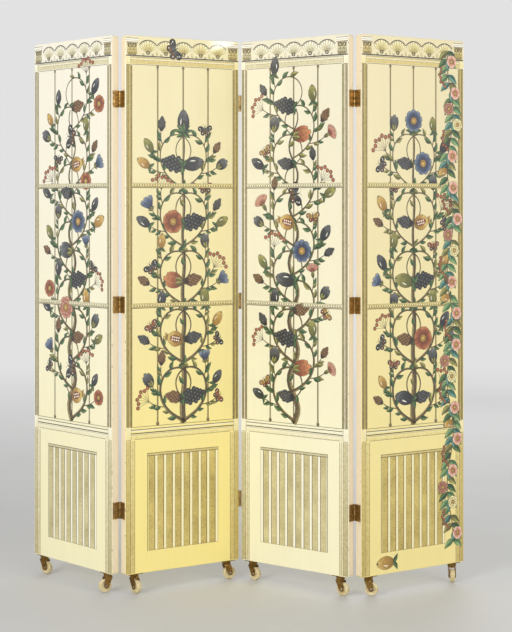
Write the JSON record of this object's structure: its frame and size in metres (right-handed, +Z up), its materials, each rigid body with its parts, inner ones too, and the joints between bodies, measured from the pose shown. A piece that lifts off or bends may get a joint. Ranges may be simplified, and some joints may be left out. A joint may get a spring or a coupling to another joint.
{
  "type": "folding screen",
  "caption": "Free-standing folding room divider of hinged painted wooden panels on swivel castors, standing open in a zigzag.",
  "frame": {"origin": "on the floor under the middle of the open screen's bounding box", "axes": "+Z up, +X to the right along the screen as seen from its painted front, +Y to the back"},
  "size_m": [1.6077, 0.4389, 2],
  "materials": {
    "painted_wood": "cream paint under gloss lacquer",
    "hinge_brass": "aged, dull",
    "castor_brass": "aged, satin",
    "steel_rivet": "worn",
    "cream_wheel": "satin"
  },
  "bodies": {
    "panel_1": {"panel_1_board": "painted_wood", "panel_1_lipping": "painted_wood", "fold_1_hinge_leaves_left": "hinge_brass", "fold_1_hinge_pins": "hinge_brass", "castor_1_left_plate": "castor_brass", "castor_1_left_kingpin": "steel_rivet", "castor_1_right_plate": "castor_brass", "castor_1_right_kingpin": "steel_rivet"},
    "panel_2": {"panel_2_board": "painted_wood", "panel_2_lipping": "painted_wood", "fold_2_hinge_leaves_left": "hinge_brass", "fold_2_hinge_pins": "hinge_brass", "fold_1_hinge_leaves_right": "hinge_brass", "castor_2_left_plate": "castor_brass", "castor_2_left_kingpin": "steel_rivet", "castor_2_right_plate": "castor_brass", "castor_2_right_kingpin": "steel_rivet"},
    "panel_3": {"panel_3_board": "painted_wood", "panel_3_lipping": "painted_wood", "fold_3_hinge_leaves_left": "hinge_brass", "fold_3_hinge_pins": "hinge_brass", "fold_2_hinge_leaves_right": "hinge_brass", "castor_3_left_plate": "castor_brass", "castor_3_left_kingpin": "steel_rivet", "castor_3_right_plate": "castor_brass", "castor_3_right_kingpin": "steel_rivet"},
    "panel_4": {"panel_4_board": "painted_wood", "panel_4_lipping": "painted_wood", "fold_3_hinge_leaves_right": "hinge_brass", "castor_4_left_plate": "castor_brass", "castor_4_left_kingpin": "steel_rivet", "castor_4_right_plate": "castor_brass", "castor_4_right_kingpin": "steel_rivet"},
    "castor_1_left_swivel": {"castor_1_left_fork": "castor_brass", "castor_1_left_axle": "steel_rivet"},
    "castor_1_left_roller": {"castor_1_left_wheel": "cream_wheel"},
    "castor_1_right_swivel": {"castor_1_right_fork": "castor_brass", "castor_1_right_axle": "steel_rivet"},
    "castor_1_right_roller": {"castor_1_right_wheel": "cream_wheel"},
    "castor_2_left_swivel": {"castor_2_left_fork": "castor_brass", "castor_2_left_axle": "steel_rivet"},
    "castor_2_left_roller": {"castor_2_left_wheel": "cream_wheel"},
    "castor_2_right_swivel": {"castor_2_right_fork": "castor_brass", "castor_2_right_axle": "steel_rivet"},
    "castor_2_right_roller": {"castor_2_right_wheel": "cream_wheel"},
    "castor_3_left_swivel": {"castor_3_left_fork": "castor_brass", "castor_3_left_axle": "steel_rivet"},
    "castor_3_left_roller": {"castor_3_left_wheel": "cream_wheel"},
    "castor_3_right_swivel": {"castor_3_right_fork": "castor_brass", "castor_3_right_axle": "steel_rivet"},
    "castor_3_right_roller": {"castor_3_right_wheel": "cream_wheel"},
    "castor_4_left_swivel": {"castor_4_left_fork": "castor_brass", "castor_4_left_axle": "steel_rivet"},
    "castor_4_left_roller": {"castor_4_left_wheel": "cream_wheel"},
    "castor_4_right_swivel": {"castor_4_right_fork": "castor_brass", "castor_4_right_axle": "steel_rivet"},
    "castor_4_right_roller": {"castor_4_right_wheel": "cream_wheel"}
  },
  "joints": [
    {"name": "fold_1", "type": "hinge", "parent": "panel_2", "child": "panel_1", "pos_m": [-0.45798, -0.15016, 1.035], "axis": [0, 0, 1], "range_deg": [-94.6, 82.9]},
    {"name": "fold_2", "type": "hinge", "parent": "panel_2", "child": "panel_3", "pos_m": [-0.02549, 0.09156, 1.035], "axis": [0, 0, -1], "range_deg": [-73.1, 104.4]},
    {"name": "fold_3", "type": "hinge", "parent": "panel_3", "child": "panel_4", "pos_m": [0.37986, -0.19334, 1.035], "axis": [0, 0, -1], "range_deg": [-103.5, 74]},
    {"name": "castor_1_left_swivel", "type": "hinge", "parent": "panel_1", "child": "castor_1_left_swivel", "pos_m": [-0.76322, 0.17557, 0.0552], "axis": [0, 0, -1], "continuous": true},
    {"name": "castor_1_left_spin", "type": "hinge", "parent": "castor_1_left_swivel", "child": "castor_1_left_roller", "pos_m": [-0.75444, 0.16895, 0.024], "axis": [0.6018, 0.7986, 0], "continuous": true},
    {"name": "castor_1_right_swivel", "type": "hinge", "parent": "panel_1", "child": "castor_1_right_swivel", "pos_m": [-0.50369, -0.12616, 0.0552], "axis": [0, 0, -1], "continuous": true},
    {"name": "castor_1_right_spin", "type": "hinge", "parent": "castor_1_right_swivel", "child": "castor_1_right_roller", "pos_m": [-0.51321, -0.13166, 0.024], "axis": [0.5, -0.866, 0], "continuous": true},
    {"name": "castor_2_left_swivel", "type": "hinge", "parent": "panel_2", "child": "castor_2_left_swivel", "pos_m": [-0.40749, -0.13943, 0.0552], "axis": [0, 0, -1], "continuous": true},
    {"name": "castor_2_left_spin", "type": "hinge", "parent": "castor_2_left_swivel", "child": "castor_2_left_roller", "pos_m": [-0.40042, -0.14785, 0.024], "axis": [0.766, 0.6428, 0], "continuous": true},
    {"name": "castor_2_right_swivel", "type": "hinge", "parent": "panel_2", "child": "castor_2_right_swivel", "pos_m": [-0.07598, 0.08082, 0.0552], "axis": [0, 0, -1], "continuous": true},
    {"name": "castor_2_right_spin", "type": "hinge", "parent": "castor_2_right_swivel", "child": "castor_2_right_roller", "pos_m": [-0.06602, 0.08547, 0.024], "axis": [-0.4226, 0.9063, 0], "continuous": true},
    {"name": "castor_3_left_swivel", "type": "hinge", "parent": "panel_3", "child": "castor_3_left_swivel", "pos_m": [0.02363, 0.07569, 0.0552], "axis": [0, 0, -1], "continuous": true},
    {"name": "castor_3_left_spin", "type": "hinge", "parent": "castor_3_left_swivel", "child": "castor_3_left_roller", "pos_m": [0.03141, 0.06791, 0.024], "axis": [0.7071, 0.7071, 0], "continuous": true},
    {"name": "castor_3_right_swivel", "type": "hinge", "parent": "panel_3", "child": "castor_3_right_swivel", "pos_m": [0.33074, -0.17747, 0.0552], "axis": [0, 0, -1], "continuous": true},
    {"name": "castor_3_right_spin", "type": "hinge", "parent": "castor_3_right_swivel", "child": "castor_3_right_roller", "pos_m": [0.33953, -0.18409, 0.024], "axis": [0.6018, 0.7986, 0], "continuous": true},
    {"name": "castor_4_left_swivel", "type": "hinge", "parent": "panel_4", "child": "castor_4_left_swivel", "pos_m": [0.43018, -0.18181, 0.0552], "axis": [0, 0, -1], "continuous": true},
    {"name": "castor_4_left_spin", "type": "hinge", "parent": "castor_4_left_swivel", "child": "castor_4_left_roller", "pos_m": [0.44081, -0.18466, 0.024], "axis": [0.2588, 0.9659, 0], "continuous": true},
    {"name": "castor_4_right_swivel", "type": "hinge", "parent": "panel_4", "child": "castor_4_right_swivel", "pos_m": [0.75818, 0.04362, 0.0552], "axis": [0, 0, -1], "continuous": true},
    {"name": "castor_4_right_spin", "type": "hinge", "parent": "castor_4_right_swivel", "child": "castor_4_right_roller", "pos_m": [0.75818, 0.03262, 0.024], "axis": [1, 0, 0], "continuous": true}
  ]
}
